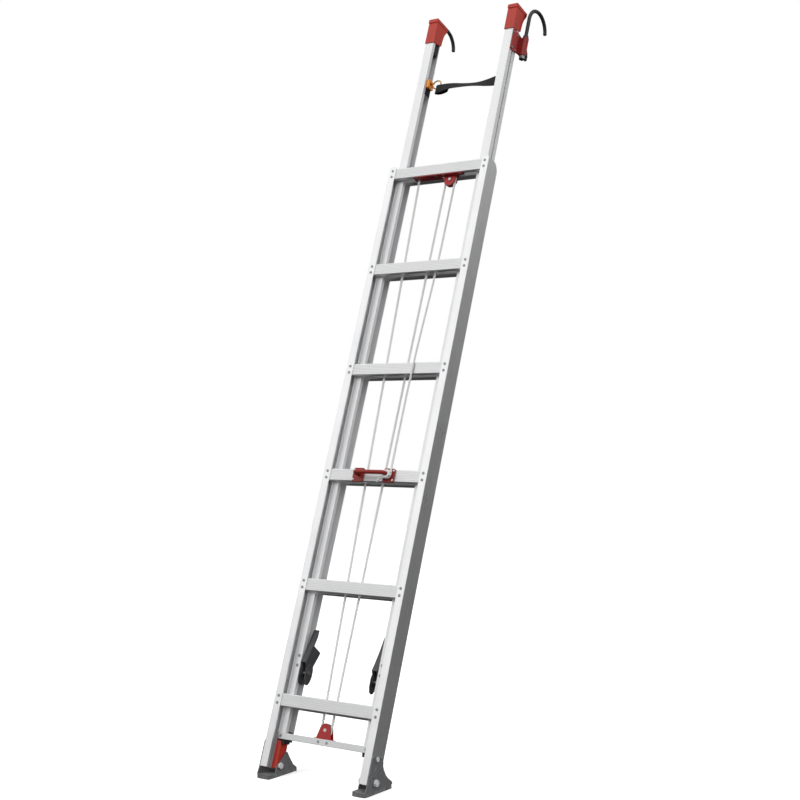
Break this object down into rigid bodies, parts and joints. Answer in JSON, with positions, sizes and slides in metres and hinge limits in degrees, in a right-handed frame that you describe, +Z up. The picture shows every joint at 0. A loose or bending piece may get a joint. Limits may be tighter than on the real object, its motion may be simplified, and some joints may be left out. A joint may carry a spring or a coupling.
{
  "type": "extension ladder",
  "caption": "Leaning aluminium extension ladder: fly section hoisted by rope and pulleys, rung locks, swivel pole hooks, tilting shoes and a strap.",
  "frame": {"origin": "on the floor, midway between the shoes, straight below their pivots", "axes": "+Z up, +X to the climber's right across the ladder, +Y away from the climber towards the wall"},
  "size_m": [0.3934, 1.0399, 2.3673],
  "materials": {
    "rail_aluminium": "extruded, satin",
    "rung_aluminium": "extruded, finely grooved",
    "bar_aluminium": "mill",
    "rivet_steel": "zinc plated",
    "guide_plastic": "moulded, matt",
    "red_plastic": "moulded, satin",
    "red_paint": "powder coat",
    "shoe_paint": "powder coat",
    "sole_rubber": "ribbed",
    "pin_steel": "zinc plated",
    "sheave_plastic": "moulded",
    "rope": "laid fibre",
    "hook_paint": "black coat",
    "lever_plastic": "moulded",
    "lock_paint": "black coat",
    "webbing": "woven",
    "buckle_plastic": "moulded",
    "ring_brass": "polished"
  },
  "bodies": {
    "base": {"base_rail_left": "rail_aluminium", "base_rail_right": "rail_aluminium", "base_rung_1": "rung_aluminium", "base_rung_2": "rung_aluminium", "base_rung_3": "rung_aluminium", "base_rung_4": "rung_aluminium", "base_rung_5": "rung_aluminium", "base_rung_6": "rung_aluminium", "base_rivets": "rivet_steel", "base_guide_left": "guide_plastic", "base_guide_right": "guide_plastic", "fly_stop_left": "red_plastic", "fly_stop_right": "red_plastic", "foot_bolts": "rivet_steel", "top_pulley_bracket": "red_paint", "top_pulley_pin": "pin_steel", "rope_anchor": "red_paint", "rope_handle": "red_plastic", "rope_handle_screws": "rivet_steel", "rope_hand_line": "rope", "rope_lift_strand": "rope", "rope_anchor_strand": "rope"},
    "fly": {"fly_rail_left": "rail_aluminium", "fly_rail_right": "rail_aluminium", "fly_rung_1": "rung_aluminium", "fly_rung_2": "rung_aluminium", "fly_rung_3": "rung_aluminium", "fly_rung_4": "rung_aluminium", "fly_rung_5": "rung_aluminium", "fly_rung_6": "rung_aluminium", "fly_rivets": "rivet_steel", "fly_bottom_bar": "bar_aluminium", "bottom_pulley_bracket": "red_paint", "fly_pins": "pin_steel", "fly_end_plug_left": "guide_plastic", "fly_end_plug_right": "guide_plastic", "top_cap_left": "red_plastic", "top_cap_right": "red_plastic", "fly_top_plugs": "guide_plastic", "hook_bracket_left": "red_paint", "hook_bracket_right": "red_paint", "hook_levers": "lever_plastic", "lock_bracket_left": "lock_paint", "lock_bracket_right": "lock_paint", "strap_webbing": "webbing", "strap_buckle": "buckle_plastic", "strap_ring": "ring_brass", "rope_bottom_turn": "rope"},
    "upper_sheave": {"top_sheave": "sheave_plastic"},
    "lower_sheave": {"bottom_sheave": "sheave_plastic"},
    "left_foot": {"foot_shoe_left": "shoe_paint", "foot_pad_left": "sole_rubber"},
    "right_foot": {"foot_shoe_right": "shoe_paint", "foot_pad_right": "sole_rubber"},
    "left_hook": {"hook_left": "hook_paint", "hook_nut_left": "rivet_steel"},
    "right_hook": {"hook_right": "hook_paint", "hook_nut_right": "rivet_steel"},
    "left_lock": {"lock_hook_left": "lock_paint"},
    "right_lock": {"lock_hook_right": "lock_paint"}
  },
  "joints": [
    {"name": "fly_slide", "type": "slide", "parent": "base", "child": "fly", "axis": [0, 0.3387, 0.9409], "range_m": [0, 1.3208], "deforming": ["rope_lift_strand", "rope_anchor_strand"]},
    {"name": "left_foot_tilt", "type": "hinge", "parent": "base", "child": "left_foot", "pos_m": [-0.1675, 0, 0.03], "axis": [1, 0, 0], "range_deg": [-11, 11]},
    {"name": "right_foot_tilt", "type": "hinge", "parent": "base", "child": "right_foot", "pos_m": [0.1675, 0, 0.03], "axis": [1, 0, 0], "range_deg": [-11, 11]},
    {"name": "left_hook_swivel", "type": "hinge", "parent": "fly", "child": "left_hook", "pos_m": [-0.18, 0.84086, 2.22387], "axis": [0, -0.3387, -0.9409], "range_deg": [0, 90]},
    {"name": "right_hook_swivel", "type": "hinge", "parent": "fly", "child": "right_hook", "pos_m": [0.18, 0.84086, 2.22387], "axis": [0, 0.3387, 0.9409], "range_deg": [0, 90]},
    {"name": "left_lock_pivot", "type": "hinge", "parent": "fly", "child": "left_lock", "pos_m": [-0.126, 0.09266, 0.28148], "axis": [1, 0, 0], "range_deg": [0, 110]},
    {"name": "right_lock_pivot", "type": "hinge", "parent": "fly", "child": "right_lock", "pos_m": [0.126, 0.09266, 0.28148], "axis": [1, 0, 0], "range_deg": [0, 110]},
    {"name": "upper_sheave_spin", "type": "hinge", "parent": "base", "child": "upper_sheave", "pos_m": [0.043, 0.61551, 1.77358], "axis": [0, 0.9409, -0.3387], "continuous": true},
    {"name": "lower_sheave_spin", "type": "hinge", "parent": "fly", "child": "lower_sheave", "pos_m": [0, 0.02847, 0.14304], "axis": [0, 0.9409, -0.3387], "continuous": true}
  ],
  "couplings": [
    {"joint": "upper_sheave_spin", "follows": "fly_slide", "rad_per_m": 117.65},
    {"joint": "lower_sheave_spin", "follows": "fly_slide", "rad_per_m": -58.824}
  ]
}
